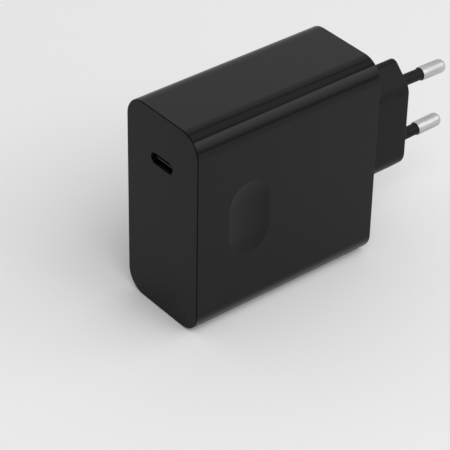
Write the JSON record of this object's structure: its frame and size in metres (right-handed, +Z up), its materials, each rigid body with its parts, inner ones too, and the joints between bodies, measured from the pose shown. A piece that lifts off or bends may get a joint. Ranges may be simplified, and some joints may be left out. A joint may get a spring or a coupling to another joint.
{
  "type": "laptop power adapter",
  "caption": "Black wall-plug power supply: tall body with a glossy shell, a matte port end with a USB-C opening, and a matte plug block with round sleeved pins.",
  "frame": {"origin": "middle of the body's lower face, on which it stands in the picture", "axes": "+X from the port end to the pins, +Y across the narrow width, +Z up"},
  "size_m": [0.0989, 0.0294, 0.0615],
  "materials": {
    "shell": "gloss",
    "front_cover": "satin",
    "plug_block": "matte",
    "pin_sleeves": "matte",
    "pins": "satin",
    "copper_strip": "satin",
    "nylon": "matte",
    "port_steel": "satin",
    "port_plastic": "matte",
    "gold_contacts": "polished",
    "circuit_board": "satin",
    "chip": "matte",
    "fuse_case": "matte",
    "varistor_coat": "satin",
    "suppressor_case": "satin",
    "ferrite": "matte",
    "winding_wire": "gloss",
    "phenolic": "matte",
    "can_sleeve": "satin",
    "polymer_can": "satin",
    "disc_coat": "satin",
    "coupler_case": "matte",
    "polyester_tape": "satin",
    "tinned_pins": "satin",
    "pad_rubber": "matte",
    "heat_plate": "satin",
    "sheet_film": "satin",
    "foam_pad": "matte"
  },
  "bodies": {
    "root": {"shell": "shell", "front_cover": "front_cover", "plug_block": "plug_block", "pin_live": "pins", "pin_neutral": "pins", "sleeve_live": "pin_sleeves", "sleeve_neutral": "pin_sleeves", "contact_strip_live": "copper_strip", "contact_strip_neutral": "copper_strip", "contact_holder": "nylon", "port_shell": "port_steel", "port_tongue": "port_plastic", "port_contacts": "gold_contacts", "port_board": "circuit_board", "port_chip": "chip", "port_switch": "chip", "fuse": "fuse_case", "varistor": "varistor_coat", "suppression_capacitor": "suppressor_case", "choke_core": "ferrite", "choke_windings": "winding_wire", "choke_base": "phenolic", "bulk_capacitor": "can_sleeve", "filter_inductor": "ferrite", "filter_winding": "winding_wire", "supply_capacitor": "can_sleeve", "output_capacitors": "polymer_can", "safety_capacitor": "disc_coat", "optocoupler": "coupler_case", "transformer_core": "ferrite", "transformer_bobbin": "phenolic", "transformer_winding": "winding_wire", "transformer_tape": "polyester_tape", "transformer_pins": "tinned_pins", "bridge_rectifier": "chip", "power_switch": "chip", "controller_chip": "chip", "output_rectifier": "chip", "thermal_pads": "pad_rubber", "heat_plate": "heat_plate", "insulating_sheet": "sheet_film", "cushion_pad": "foam_pad", "main_board": "circuit_board"}
  },
  "joints": []
}
